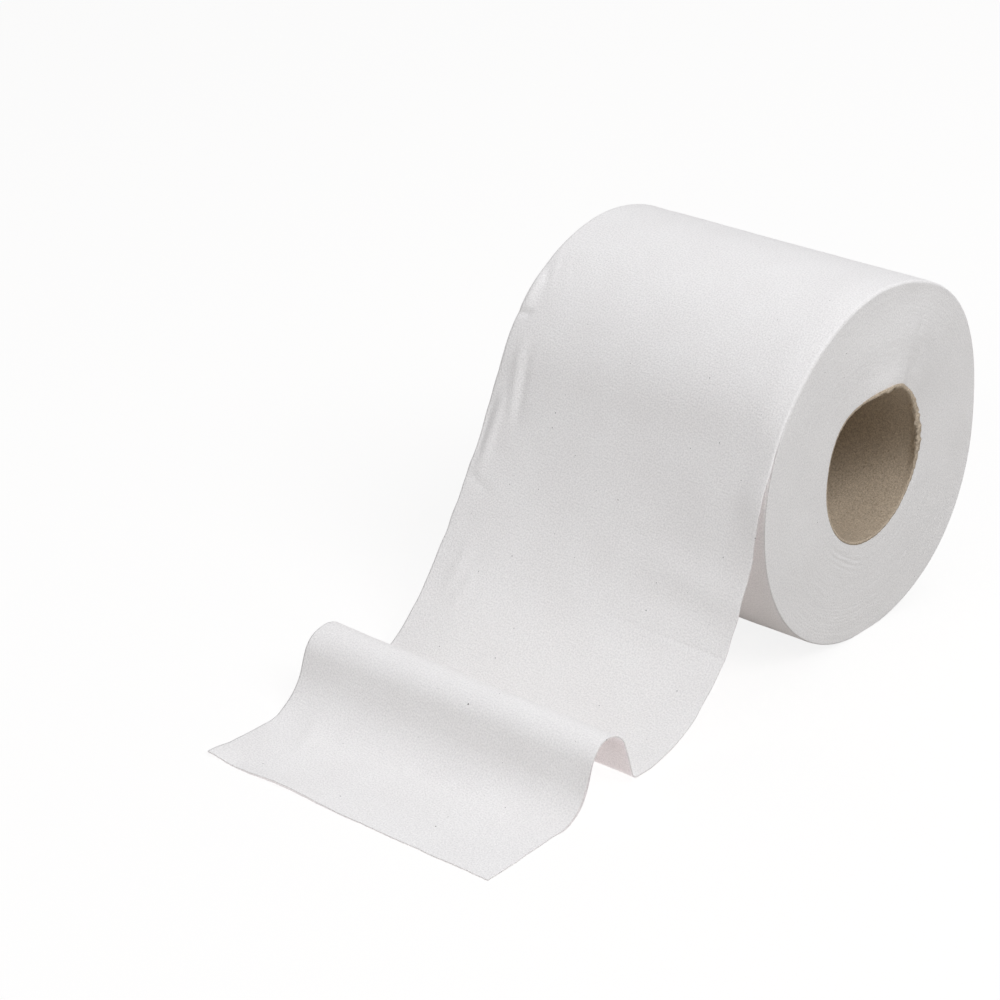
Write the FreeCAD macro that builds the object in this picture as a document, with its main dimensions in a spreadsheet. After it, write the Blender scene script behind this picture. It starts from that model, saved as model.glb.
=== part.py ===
"""Toilet paper roll lying on its side, with its loose end pulled out over one hump.

Units are millimetres. The roll's axis runs along Y, +Z is up and the loose tail runs towards -X.
The origin is on the floor, at the middle of the flat spot under the roll. The end face at -Y is
the one that is seen, so "near" means that end and "far" means the other.
"""
import FreeCAD, Part
import math
import os
import Sketcher

SIZES = [
    ("roll_width", 95.0, "length of the roll along its axis, which is the sheet's width"),
    ("outer_radius", 53.0, "radius of the roll's top half"),
    ("web_thickness", 0.4, "two loose plies of tissue, and the step where the tail leaves the roll"),
    ("flat_spot_sag", 0.25, "how far the soft roll has settled into its flat spot"),
    ("leave_angle", 22.0, "degrees above the axis where the tail leaves the roll"),
    ("core_outer_radius", 23.25, "outside of the cardboard tube"),
    ("core_wall", 0.75, "wall of the cardboard tube"),
    ("core_clearance", 0.1, "gap between the tube and the first turn"),
    ("turns_shown", 6.0, "turns drawn on each end face, many real turns to one drawn"),
    ("turn_groove_width", 0.9, "width of the groove between two drawn turns"),
    ("turn_groove_depth", 0.3, "depth of the groove between two drawn turns"),
    ("tail_drift", 1.55, "degrees by which the tail runs off square, towards the near end"),
    ("tail_strips", 4.0, "strips that the tail is ruled in, from its near edge to its far one"),
    ("near_length", 180.6, "near edge: paper from where it leaves the roll to its torn end"),
    ("near_fall_pull", 26.5, "near edge: how long the falling curve keeps its first direction"),
    ("near_land_pull", 42.0, "near edge: how gently the falling curve comes level"),
    ("near_land_x", 107.5, "near edge: comes level this far from the axis"),
    ("near_land_height", 1.8, "near edge: height of the hollow between the fall and the hump"),
    ("near_crest_x", 121.5, "near edge: middle of the hump"),
    ("near_crest_height", 18.0, "near edge: height inside the hump"),
    ("near_crest_radius", 7.5, "near edge: bend over the hump's top"),
    ("near_first_foot_radius", 3.2, "near edge: bend at the hump's foot towards the roll"),
    ("near_last_foot_radius", 12.5, "near edge: bend at the hump's other foot"),
    ("near_rise_angle", 72.0, "near edge: slope of the hump's side towards the roll"),
    ("near_drop_angle", 67.0, "near edge: slope of the hump's other side"),
    ("far_length", 178.8, "far edge: paper from where it leaves the roll to its torn end"),
    ("far_fall_pull", 22.0, "far edge: how long the falling curve keeps its first direction"),
    ("far_land_pull", 17.0, "far edge: how gently the falling curve comes level"),
    ("far_land_x", 104.2, "far edge: comes level this far from the axis"),
    ("far_land_height", 1.8, "far edge: height of the hollow between the fall and the hump"),
    ("far_crest_x", 124.6, "far edge: middle of the hump"),
    ("far_crest_height", 19.9, "far edge: height inside the hump"),
    ("far_crest_radius", 8.6, "far edge: bend over the hump's top"),
    ("far_first_foot_radius", 4.1, "far edge: bend at the hump's foot towards the roll"),
    ("far_last_foot_radius", 16.0, "far edge: bend at the hump's other foot"),
    ("far_rise_angle", 69.5, "far edge: slope of the hump's side towards the roll"),
    ("far_drop_angle", 67.5, "far edge: slope of the hump's other side"),
]

doc = FreeCAD.newDocument("toilet_paper_roll")
sheet = doc.addObject("Spreadsheet::Sheet", "sizes")
for row, (alias, value, note) in enumerate(SIZES, start=1):
    sheet.set(f"A{row}", alias)
    sheet.set(f"B{row}", str(value))
    sheet.set(f"C{row}", note)
    sheet.setAlias(f"B{row}", alias)
doc.recompute()

# The lower half of the outline is half a web thickness smaller, and it has settled onto the floor.
AXIS_HEIGHT = "(sizes.outer_radius - sizes.web_thickness / 2 - sizes.flat_spot_sag)"
BORE_RADIUS = "(sizes.core_outer_radius + sizes.core_clearance)"
UNDER_RADIUS = "(sizes.outer_radius - sizes.web_thickness)"
TURN_PITCH = "((sizes.outer_radius - sizes.core_outer_radius) / (sizes.turns_shown + 1))"


def size(alias):
    """Value of one cell of the sheet."""
    return float(sheet.get(alias))


outer_radius = size("outer_radius")
web_thickness = size("web_thickness")
axis_height = outer_radius - web_thickness / 2 - size("flat_spot_sag")
bore_radius = size("core_outer_radius") + size("core_clearance")
leave_angle = math.radians(size("leave_angle"))
half_width = size("roll_width") / 2


def origin_plane(body, role):
    """One of the body's own origin planes, found by its role."""
    return next(plane for plane in body.Origin.OriginFeatures if plane.Role == role)


def attached_sketch(body, name, role):
    """A new sketch of the body, flat on one of its origin planes."""
    sketch = body.newObject("Sketcher::SketchObject", name)
    sketch.AttachmentSupport = (origin_plane(body, role), "")
    sketch.MapMode = "FlatFace"
    return sketch


def pin(sketch, expression, *constraint):
    """Add a dimension to a sketch and bind it to the sheet."""
    index = sketch.addConstraint(Sketcher.Constraint(*constraint))
    sketch.setExpression(f"Constraints[{index}]", expression)


def arc(centre, radius, start, end):
    """Arc about centre (x, y) between two angles in radians."""
    circle = Part.Circle(FreeCAD.Vector(*centre, 0), FreeCAD.Vector(0, 0, 1), radius)
    return Part.ArcOfCircle(circle, start, end)


def line(start, end):
    """Straight line between two points (x, y)."""
    return Part.LineSegment(FreeCAD.Vector(*start, 0), FreeCAD.Vector(*end, 0))


def round_about(centre, radius, angle):
    """Point (x, y) on a circle."""
    return (centre[0] + radius * math.cos(angle), centre[1] + radius * math.sin(angle))


def draw_outline(sketch):
    """End view of the wound turns: two half spirals of different radius, the step, the flat spot.

    The winding is drawn as a draftsman's spiral. The top half turns about the roll's axis, and the
    bottom half about a centre half a web thickness aside, so the outline comes round to the step
    exactly one web thickness below the paper that leaves there.
    """
    centre = (0.0, axis_height)
    low_centre = (web_thickness / 2, axis_height)
    under_radius = outer_radius - web_thickness
    low_radius = outer_radius - web_thickness / 2
    step_angle = math.pi - leave_angle
    flat_angle = math.asin(axis_height / low_radius)
    top, step, under, left, flat, right, bore = range(7)
    sketch.addGeometry([
        arc(centre, outer_radius, 0.0, step_angle),
        line(round_about(centre, outer_radius, step_angle),
             round_about(centre, under_radius, step_angle)),
        arc(centre, under_radius, step_angle, math.pi),
        arc(low_centre, low_radius, math.pi, math.pi + flat_angle),
        line(round_about(low_centre, low_radius, math.pi + flat_angle),
             round_about(low_centre, low_radius, -flat_angle)),
        arc(low_centre, low_radius, -flat_angle, 0.0),
        Part.Circle(FreeCAD.Vector(*centre, 0), FreeCAD.Vector(0, 0, 1), bore_radius),
    ], False)
    start, end, middle = 1, 2, 3
    x_axis, y_axis, root = -1, -2, (-1, 1)
    ring = [(top, step), (step, under), (under, left), (left, flat), (flat, right), (right, top)]
    for one, following in ring:
        sketch.addConstraint(Sketcher.Constraint("Coincident", one, end, following, start))
    sketch.addConstraint(Sketcher.Constraint("Coincident", top, middle, under, middle))
    sketch.addConstraint(Sketcher.Constraint("Coincident", top, middle, bore, middle))
    sketch.addConstraint(Sketcher.Constraint("Coincident", left, middle, right, middle))
    sketch.addConstraint(Sketcher.Constraint("PointOnObject", top, middle, y_axis))
    sketch.addConstraint(Sketcher.Constraint("PointOnObject", top, middle, step))
    sketch.addConstraint(Sketcher.Constraint("PointOnObject", flat, start, x_axis))
    sketch.addConstraint(Sketcher.Constraint("PointOnObject", flat, end, x_axis))
    sketch.addConstraint(Sketcher.Constraint("Horizontal", top, middle, top, start))
    sketch.addConstraint(Sketcher.Constraint("Horizontal", top, middle, under, end))
    sketch.addConstraint(Sketcher.Constraint("Horizontal", top, middle, left, middle))
    pin(sketch, AXIS_HEIGHT, "DistanceY", *root, top, middle, axis_height)
    pin(sketch, "sizes.web_thickness / 2", "DistanceX", top, middle, left, middle, web_thickness / 2)
    pin(sketch, "sizes.outer_radius", "Radius", top, outer_radius)
    pin(sketch, UNDER_RADIUS, "Radius", under, under_radius)
    pin(sketch, BORE_RADIUS, "Radius", bore, bore_radius)
    pin(sketch, "-sizes.leave_angle", "Angle", step, -leave_angle)


def draw_groove_sections(sketch, first_radius, offset, pitch):
    """V-shaped sections on both end faces, one for each drawn turn, on a sketch through the axis."""
    half_groove = size("turn_groove_width") / 2
    depth = size("turn_groove_depth")
    start, end = 1, 2
    root = (-1, 1)
    for turn in range(int(size("turns_shown"))):
        radius = first_radius + turn * pitch
        place = f"{BORE_RADIUS} + {TURN_PITCH} * ({turn} + {offset})"
        for face in (-1, 1):
            rim = face * half_width
            inner = (radius - half_groove, rim)
            outer = (radius + half_groove, rim)
            floor = (radius, rim - face * depth)
            first = sketch.GeometryCount
            sketch.addGeometry([line(inner, outer), line(outer, floor), line(floor, inner)], False)
            mouth, back, front = first, first + 1, first + 2
            sketch.addConstraint([
                Sketcher.Constraint("Coincident", mouth, end, back, start),
                Sketcher.Constraint("Coincident", back, end, front, start),
                Sketcher.Constraint("Coincident", front, end, mouth, start),
                Sketcher.Constraint("Horizontal", mouth),
                Sketcher.Constraint("Equal", back, front),
            ])
            pin(sketch, place, "DistanceX", *root, back, end, radius)
            pin(sketch, "sizes.turn_groove_width", "DistanceX", mouth, start, mouth, end,
                2 * half_groove)
            if face > 0:
                pin(sketch, "sizes.roll_width / 2", "DistanceY", *root, mouth, start, half_width)
                pin(sketch, "sizes.turn_groove_depth", "DistanceY", back, end, mouth, end, depth)
            else:
                pin(sketch, "sizes.roll_width / 2", "DistanceY", mouth, start, *root, half_width)
                pin(sketch, "sizes.turn_groove_depth", "DistanceY", mouth, end, back, end, depth)


def make_turns():
    """Wound turns: the spiral outline padded to the roll's width, with a spiral groove on each end."""
    body = doc.addObject("PartDesign::Body", "turns")
    outline = attached_sketch(body, "outline", "XZ_Plane")
    draw_outline(outline)
    doc.recompute()
    pad = body.newObject("PartDesign::Pad", "wound_web")
    pad.Profile = outline
    pad.SideType = "Symmetric"
    pad.setExpression("Length", "sizes.roll_width")
    doc.recompute()
    solid_volume = pad.Shape.Volume

    # Each drawn turn is two half circles, the lower one about a centre half a pitch aside.
    pitch = (outer_radius - size("core_outer_radius")) / (size("turns_shown") + 1)
    halves = [("upper", 0.0, 0.5, False), ("lower", 0.5, 1.0, True)]
    for name, centre_shift, offset, turned_down in halves:
        sections = attached_sketch(body, f"{name}_groove_sections", "XY_Plane")
        sections.setExpression("AttachmentOffset.Base.z", AXIS_HEIGHT)
        sections.setExpression("AttachmentOffset.Base.x", f"{TURN_PITCH} * {centre_shift}")
        draw_groove_sections(sections, bore_radius + pitch * offset, offset, pitch)
        doc.recompute()
        groove = body.newObject("PartDesign::Groove", f"{name}_turn_grooves")
        groove.Profile = sections
        groove.ReferenceAxis = (sections, ["V_Axis"])
        groove.Angle = 180.0
        groove.Reversed = turned_down
        doc.recompute()
        print(name, "grooves took", round(solid_volume - groove.Shape.Volume, 2), "mm3")
        solid_volume = groove.Shape.Volume
    body.Tip = groove
    return body


def between(name, share):
    """A size of the tail, a share of the way from its near edge to its far one."""
    return size(f"near_{name}") * (1 - share) + size(f"far_{name}") * share


def hump_bends(share):
    """Centres, radii and slopes of the hump's foot, crest and foot, on one line along the tail."""
    crest_x = -between("crest_x", share)
    height = between("crest_height", share)
    land_height = between("land_height", share)
    crest_radius = between("crest_radius", share)
    first_radius = between("first_foot_radius", share)
    last_radius = between("last_foot_radius", share)
    rise = math.radians(between("rise_angle", share))
    drop = math.radians(between("drop_angle", share))

    def half_run(slope, foot_radius, foot_height):
        """Level distance from the crest to a foot: the share of both arcs and of the straight."""
        bends = crest_radius + foot_radius
        straight_rise = height - foot_height - bends * (1 - math.cos(slope))
        return bends * math.sin(slope) + straight_rise / math.tan(slope)

    return {
        "first_foot": (crest_x + half_run(rise, first_radius, land_height),
                       land_height + first_radius),
        "crest": (crest_x, height - crest_radius),
        "last_foot": (crest_x - half_run(drop, last_radius, 0.0), last_radius),
        "first_radius": first_radius,
        "crest_radius": crest_radius,
        "last_radius": last_radius,
        "rise": rise,
        "drop": drop,
    }


def tail_edges(share, lift, end_x):
    """A line along the tail, in the XZ plane, as tangent curves lift above the paper's underside."""

    def point(x, z):
        return FreeCAD.Vector(x, 0, z)

    def bend(centre, radius, first, last):
        """Arc about a centre through three of its points, angles counted from +X."""
        stops = [first, (first + last) / 2, last]
        return Part.Arc(*[point(*round_about(centre, radius, angle)) for angle in stops]).toShape()

    hump = hump_bends(share)
    start = point(*round_about((0, axis_height), outer_radius - web_thickness + lift,
                               math.pi - leave_angle))
    falling = FreeCAD.Vector(-math.sin(leave_angle), 0, -math.cos(leave_angle))
    landing = point(-between("land_x", share), between("land_height", share) + lift)
    # The upper face's control polygon is the lower one's moved out by the lift and mitred at its
    # two corners, which share the turn from the falling direction to the floor.
    mitre = math.tan((math.pi / 2 - leave_angle) / 4)
    fall = Part.BezierCurve()
    fall.setPoles([
        start,
        start + falling * (between("fall_pull", share) - lift * mitre),
        landing + point(between("land_pull", share) - lift * mitre, 0),
        landing,
    ])
    down = -math.pi / 2
    up = math.pi / 2
    first_foot = bend(hump["first_foot"], hump["first_radius"] - lift, down, down - hump["rise"])
    top = bend(hump["crest"], hump["crest_radius"] + lift, up - hump["rise"], up + hump["drop"])
    last_foot = bend(hump["last_foot"], hump["last_radius"] - lift, down + hump["drop"], down)
    curves = [fall.toShape(), first_foot, top, last_foot]
    edges = []
    for curve, following in zip(curves, curves[1:]):
        edges.append(curve)
        edges.append(Part.makeLine(curve.lastVertex().Point, following.firstVertex().Point))
    edges.append(last_foot)
    edges.append(Part.makeLine(last_foot.lastVertex().Point, point(end_x, lift)))
    return edges


def tail_section(share):
    """Closed outline of the paper cut along the tail, turned about the line where it leaves the roll.

    The paper doesn't stretch, so the end's place follows from the length that the fall and the hump
    have used up.
    """
    hump_end = hump_bends(share)["last_foot"][0]
    spare = 1.0
    used = sum(edge.Length for edge in tail_edges(share, 0.0, hump_end - spare)) - spare
    end_x = hump_end - (between("length", share) - used)
    below = tail_edges(share, 0.0, end_x)
    above = tail_edges(share, web_thickness, end_x)
    tip = Part.makeLine(above[-1].lastVertex().Point, below[-1].lastVertex().Point)
    root = Part.makeLine(below[0].firstVertex().Point, above[0].firstVertex().Point)
    wire = Part.Wire(Part.__sortEdges__(above + [tip] + below + [root]))
    outward = FreeCAD.Vector(-math.cos(leave_angle), 0, math.sin(leave_angle))
    place_y = size("roll_width") * (share - 0.5)
    wire.translate(FreeCAD.Vector(0, place_y, 0))
    wire.rotate(FreeCAD.Vector(0, place_y, axis_height), outward, size("tail_drift"))
    print("tail section at share", share, "ends at x", round(end_x, 2))
    return wire


def make_tail():
    """Loose tail: one sheet, ruled from section to section between its near and far edges."""
    tail = doc.addObject("Part::Feature", "tail")
    strips = int(size("tail_strips"))
    sections = [tail_section(strip / strips) for strip in range(strips + 1)]
    tail.Shape = Part.makeLoft(sections, True, True)
    flat_volume = between("length", 0.5) * size("roll_width") * web_thickness
    print("tail volume", round(tail.Shape.Volume, 1), "of", round(flat_volume, 1), "mm3 laid flat")
    return tail


def make_tissue():
    """The paper: wound turns and loose tail are one web, so they are one solid."""
    tissue = doc.addObject("Part::Fuse", "paper")
    tissue.Base = make_turns()
    tissue.Tool = make_tail()
    tissue.Label = "tissue"
    return tissue


def make_core():
    """Cardboard tube that the web is wound on."""
    body = doc.addObject("PartDesign::Body", "tube")
    section = attached_sketch(body, "tube_section", "XZ_Plane")
    outer, inner = 0, 1
    centre = FreeCAD.Vector(0, axis_height, 0)
    upright = FreeCAD.Vector(0, 0, 1)
    core_outer_radius = size("core_outer_radius")
    section.addGeometry([
        Part.Circle(centre, upright, core_outer_radius),
        Part.Circle(centre, upright, core_outer_radius - size("core_wall")),
    ], False)
    middle, root, y_axis = 3, (-1, 1), -2
    section.addConstraint(Sketcher.Constraint("Coincident", outer, middle, inner, middle))
    section.addConstraint(Sketcher.Constraint("PointOnObject", outer, middle, y_axis))
    pin(section, AXIS_HEIGHT, "DistanceY", *root, outer, middle, axis_height)
    pin(section, "sizes.core_outer_radius", "Radius", outer, core_outer_radius)
    pin(section, "sizes.core_outer_radius - sizes.core_wall", "Radius", inner,
        core_outer_radius - size("core_wall"))
    doc.recompute()
    pad = body.newObject("PartDesign::Pad", "tube_wall")
    pad.Profile = section
    pad.SideType = "Symmetric"
    pad.setExpression("Length", "sizes.roll_width")
    body.Label = "core"
    return body


parts = [make_tissue(), make_core()]
doc.recompute()

for thing in doc.Objects:
    if "Invalid" in thing.State or "Error" in thing.State:
        raise RuntimeError(f"{thing.Name} failed: {thing.State}")

os.makedirs("parts", exist_ok=True)
for part in parts:
    shape = part.Shape
    if shape.isNull() or not shape.isValid() or len(shape.Solids) != 1:
        raise RuntimeError(f"{part.Label} is not one valid solid")
    shape.exportStep(f"parts/{part.Label}.step")
    box = shape.BoundBox
    print(part.Label, "volume", round(shape.Volume / 1000, 2), "cm3, faces", len(shape.Faces),
          "box", [round(v, 2) for v in (box.XMin, box.YMin, box.ZMin, box.XMax, box.YMax, box.ZMax)])
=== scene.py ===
# %% [markdown]
# # A toilet paper roll with its loose end pulled out
# The roll lies on its side and its tail runs down to the floor, over one hump. The solids that it
# rests and collides with are already made. Here the same roll is dressed: the two plies of tissue,
# the edges of the wound turns and the cardboard tube are worked out as surfaces, in millimetres,
# and put into meshes in metres. A surface that follows a formula keeps its width and its length,
# which is what makes it look like paper, so nothing is sculpted by hand.

# %% The frame that everything is measured from
import math

import bpy
import numpy as np
from mathutils import Matrix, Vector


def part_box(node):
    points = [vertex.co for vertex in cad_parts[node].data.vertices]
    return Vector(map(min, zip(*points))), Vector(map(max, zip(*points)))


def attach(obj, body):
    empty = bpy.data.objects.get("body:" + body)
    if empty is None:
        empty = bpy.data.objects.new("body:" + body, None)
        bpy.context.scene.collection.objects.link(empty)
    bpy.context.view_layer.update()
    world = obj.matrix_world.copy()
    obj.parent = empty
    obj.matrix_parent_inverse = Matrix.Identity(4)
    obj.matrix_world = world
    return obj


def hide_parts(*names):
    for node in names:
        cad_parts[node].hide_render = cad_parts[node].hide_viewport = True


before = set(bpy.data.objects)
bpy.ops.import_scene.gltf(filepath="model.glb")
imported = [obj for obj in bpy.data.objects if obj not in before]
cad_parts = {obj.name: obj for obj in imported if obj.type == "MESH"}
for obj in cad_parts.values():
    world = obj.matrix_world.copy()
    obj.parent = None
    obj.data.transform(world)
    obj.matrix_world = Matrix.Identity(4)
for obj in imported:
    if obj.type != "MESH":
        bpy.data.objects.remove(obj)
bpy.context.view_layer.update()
MM = 0.001

_, tissue_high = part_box("tissue")
core_low, core_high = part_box("core")
roll_radius = tissue_high[0] / MM
roll_half_width = core_high[1] / MM
core_radius = (core_high[0] - core_low[0]) / 2 / MM
axis_height = (core_high[2] + core_low[2]) / 2 / MM
print("roll radius", round(roll_radius, 2), "half width", round(roll_half_width, 2))
print("core radius", round(core_radius, 2), "axis height", round(axis_height, 2))

# %% [markdown]
# ## The camera
# The view in the photograph was worked out from the roll's two rims, its core and the tail on the
# floor: a long lens about 850 mm from the roll, which looks down at 25 degrees from the left of
# the near end. A camera matrix holds the directions of its right, its up and its back in three
# columns, and its place in the fourth.

# %% The camera, as the photograph sees the roll
CAMERA_PLACE = (-641.4, -442.0, 388.0)
CAMERA_RIGHT = (0.63942, -0.76881, 0.00857)
CAMERA_UP = (0.31966, 0.27597, 0.90645)
CAMERA_BACK = (-0.69926, -0.57686, 0.42222)
CAMERA_LENS = 105.94
SENSOR_WIDTH = 36.0
CLIP_START = 0.05

camera_data = bpy.data.cameras.new("camera")
camera_data.lens = CAMERA_LENS
camera_data.sensor_width = SENSOR_WIDTH
camera_data.sensor_fit = "HORIZONTAL"
camera_data.clip_start = CLIP_START
camera = bpy.data.objects.new("camera", camera_data)
bpy.context.scene.collection.objects.link(camera)
columns = [CAMERA_RIGHT, CAMERA_UP, CAMERA_BACK, [value * MM for value in CAMERA_PLACE]]
camera.matrix_world = Matrix([[column[row] for column in columns] for row in range(3)]).to_4x4()
bpy.context.scene.camera = camera
camera_distance = math.dist(CAMERA_PLACE, (0, 0, axis_height))
print("camera", round(camera_distance), "mm from the roll, with a lens of", CAMERA_LENS, "mm")

# %% [markdown]
# ## Two small tools for materials
# Colours are written as they look on a screen, in sRGB hex, and turned to the linear values that
# light adds up in. One function adds any node: its settings are attributes, and its inputs are
# either plain values or the outputs of other nodes.

# %% Colour and node helpers
def linear(hex_colour):
    """Turn an sRGB hex colour to the linear RGBA that a shader works in."""
    channels = [int(hex_colour[at:at + 2], 16) / 255 for at in (1, 3, 5)]
    return [c / 12.92 if c <= 0.04045 else ((c + 0.055) / 1.055) ** 2.4 for c in channels] + [1.0]


def add_node(tree, kind, inputs=None, **settings):
    """Add a node; inputs maps a socket's name or number to a value or to another node's output."""
    node = tree.nodes.new(kind)
    for name, value in settings.items():
        setattr(node, name, value)
    for socket, value in (inputs or {}).items():
        if isinstance(value, bpy.types.NodeSocket):
            tree.links.new(value, node.inputs[socket])
        else:
            node.inputs[socket].default_value = value
    return node


def new_material(name):
    """An empty material with its output, ready for a shader."""
    material = bpy.data.materials.new(name)
    material.use_nodes = True
    material.node_tree.nodes.clear()
    output = add_node(material.node_tree, "ShaderNodeOutputMaterial")
    return material, material.node_tree, output


# %% [markdown]
# ## Floor, world and lamps
# White paper on a white ground is lit by soft light only: a weak world and four wide lamps,
# overhead, beyond the roll on the right, in front and on the left. They are a touch cool, so
# that the warm paper looks white in them. Their powers were solved for from the tones of the
# photograph. The floor is a pale grey matt paint that keeps the roll's shadow. What the camera
# sees of it directly is lifted to white. What the roll receives from it is not, or the dents in
# the end face would drown in light from below.

# %% The floor
FLOOR_REACH = 4.0
FLOOR_COLOUR = "#BFBCB8"
FLOOR_LIFT = 0.72
FLOOR_WHITE = 1.2

floor_mesh = bpy.data.meshes.new("studio_floor")
floor_mesh.from_pydata(
    [(-FLOOR_REACH, -FLOOR_REACH, 0), (FLOOR_REACH, -FLOOR_REACH, 0),
     (FLOOR_REACH, FLOOR_REACH, 0), (-FLOOR_REACH, FLOOR_REACH, 0)], [], [(0, 1, 2, 3)])
studio_floor = bpy.data.objects.new("studio_floor", floor_mesh)
bpy.context.scene.collection.objects.link(studio_floor)

floor_paint, tree, output = new_material("matt_floor_paint")
diffuse = add_node(tree, "ShaderNodeBsdfDiffuse", {"Color": linear(FLOOR_COLOUR)})
white = add_node(tree, "ShaderNodeEmission", {"Color": (1, 1, 1, 1), "Strength": FLOOR_WHITE})
path = add_node(tree, "ShaderNodeLightPath")
seen = path.outputs["Is Camera Ray"]
for kind_of_ray in ("Is Glossy Ray", "Is Transmission Ray"):
    either = add_node(tree, "ShaderNodeMath", {0: seen, 1: path.outputs[kind_of_ray]},
                      operation="MAXIMUM")
    seen = either.outputs[0]
lift = add_node(tree, "ShaderNodeMath", {0: seen, 1: FLOOR_LIFT}, operation="MULTIPLY")
mixed = add_node(tree, "ShaderNodeMixShader", {0: lift.outputs[0], 1: diffuse.outputs[0],
                                               2: white.outputs[0]})
tree.links.new(mixed.outputs[0], output.inputs["Surface"])
floor_mesh.materials.append(floor_paint)
print("floor", 2 * FLOOR_REACH, "m wide, lifted to white by", FLOOR_LIFT)

# %% The world
COOL_WHITE = (0.991, 1.0, 1.038)
WORLD_STRENGTH = 0.21

world = bpy.data.worlds.new("studio")
world.use_nodes = True
world.node_tree.nodes.clear()
background = add_node(world.node_tree, "ShaderNodeBackground",
                      {"Color": COOL_WHITE + (1.0,), "Strength": WORLD_STRENGTH})
world_output = add_node(world.node_tree, "ShaderNodeOutputWorld")
world.node_tree.links.new(background.outputs[0], world_output.inputs["Surface"])
bpy.context.scene.world = world
bpy.context.scene.view_settings.view_transform = "Standard"


# %% The lamps: a name, a place and a width in metres, and a power in watts
LAMPS = [
    ("overhead_lamp", (0.0, 0.0, 1.6), 1.2, 3.1),
    ("right_lamp", (0.9, 0.3, 1.3), 1.0, 4.8),
    ("front_lamp", (-0.15, -1.1, 1.3), 1.0, 16.7),
    ("left_lamp", (-1.5, 0.05, 0.6), 1.0, 5.1),
]
ROLL_MIDDLE = (-0.05, 0.0, 0.04)


def area_lamp(name, place, target, width, power):
    """A square soft lamp at place, in metres, that points at target."""
    data = bpy.data.lights.new(name, "AREA")
    data.shape = "SQUARE"
    data.size = width
    data.energy = power
    data.color = COOL_WHITE
    lamp = bpy.data.objects.new(name, data)
    bpy.context.scene.collection.objects.link(lamp)
    away = np.subtract(place, target)
    back = away / np.linalg.norm(away)
    right = np.cross((0.0, 1.0, 0.0), back)
    right = right / np.linalg.norm(right)
    up = np.cross(back, right)
    turn = [[right[row], up[row], back[row], place[row]] for row in range(3)]
    lamp.matrix_world = Matrix(turn).to_4x4()


for name, place, width, power in LAMPS:
    area_lamp(name, place, ROLL_MIDDLE, width, power)
    print(name, "at", place, "with", power, "watts")


# %% [markdown]
# ## The line that the tail follows
# The paper leaves the roll in the direction of the turn, curves down to the floor, stands up in
# one hump and lies flat to its end. One edge is not quite like the other, so each size of this
# line has a value at the near edge and one at the far edge, and the lines between blend them.
# Paper doesn't stretch, so the lines are almost equally long. The small rest is the torn end,
# which isn't quite square.

# %% Driving sizes of the sheet, as (near edge, far edge) in millimetres and degrees
WEB = 0.4
LEAVE_ANGLE = math.radians(22.0)
TAIL_DRIFT = math.radians(1.55)
TAIL = {
    "length": (180.6, 178.8),
    "fall_pull": (26.5, 22.0),
    "land_pull": (42.0, 17.0),
    "land_x": (107.5, 104.2),
    "land_height": (1.8, 1.8),
    "crest_x": (121.5, 124.6),
    "crest_height": (18.0, 19.9),
    "crest_radius": (7.5, 8.6),
    "first_foot_radius": (3.2, 4.1),
    "last_foot_radius": (12.5, 16.0),
    "rise_angle": (72.0, 69.5),
    "drop_angle": (67.0, 67.5),
}
TAIL_LENGTH = max(TAIL["length"])
CURVE_SAMPLES = 80
FALL_SAMPLES = 4 * CURVE_SAMPLES
print("tail", TAIL_LENGTH, "mm long, with a hump", TAIL["crest_height"], "mm high")


# %% A line along the tail, and walking along it
def tail_lines(share):
    """Underside of the tail at shares across it (0 near, 1 far), as points (sample, line, xz).

    The fall is a cubic curve from the roll to the floor, and a pull at each of its ends sets its
    direction there. The hump is three arcs, foot, crest and foot, joined by straight runs, and a
    last straight run lies on the floor.
    """
    size = {name: near + (far - near) * share for name, (near, far) in TAIL.items()}
    rise = np.radians(size["rise_angle"])
    drop = np.radians(size["drop_angle"])

    def half_run(slope, foot, height):
        """Level distance from the crest to a foot: both arcs' share and the straight's share."""
        bends = size["crest_radius"] + foot
        straight_rise = height - bends * (1 - np.cos(slope))
        return bends * np.sin(slope) + straight_rise / np.tan(slope)

    def arc(centre_x, centre_z, radius, first, last):
        """Points of an arc about a centre, between two angles."""
        turn = first + (last - first) * np.linspace(0, 1, CURVE_SAMPLES)[:, None]
        return np.stack([centre_x + radius * np.cos(turn), centre_z + radius * np.sin(turn)], -1)

    under_radius = roll_radius - WEB
    start = np.array([-math.cos(LEAVE_ANGLE), math.sin(LEAVE_ANGLE)]) * under_radius
    start = np.broadcast_to(start + [0, axis_height], (len(share), 2))
    falling = np.array([-math.sin(LEAVE_ANGLE), -math.cos(LEAVE_ANGLE)])
    landing = np.stack([-size["land_x"], size["land_height"]], -1)
    before_landing = landing + np.stack([size["land_pull"], 0 * share], -1)
    after_start = start + falling * size["fall_pull"][:, None]
    t = np.linspace(0, 1, FALL_SAMPLES)[:, None, None]
    fall = ((1 - t) ** 3 * start + 3 * (1 - t) ** 2 * t * after_start
            + 3 * (1 - t) * t ** 2 * before_landing + t ** 3 * landing)

    up = np.pi / 2
    down = -up
    first_foot, last_foot = size["first_foot_radius"], size["last_foot_radius"]
    crest = size["crest_radius"]
    hump_rise = size["crest_height"] - size["land_height"]
    first_x = -size["crest_x"] + half_run(rise, first_foot, hump_rise)
    last_x = -size["crest_x"] - half_run(drop, last_foot, size["crest_height"])
    crest_z = size["crest_height"] - crest
    end = np.stack([last_x - TAIL_LENGTH, 0 * share], -1)[None]
    return np.concatenate([
        fall,
        arc(first_x, size["land_height"] + first_foot, first_foot, down, down - rise),
        arc(-size["crest_x"], crest_z, crest, up - rise, up + drop),
        arc(last_x, last_foot, last_foot, down + drop, down),
        end,
    ])


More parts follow.
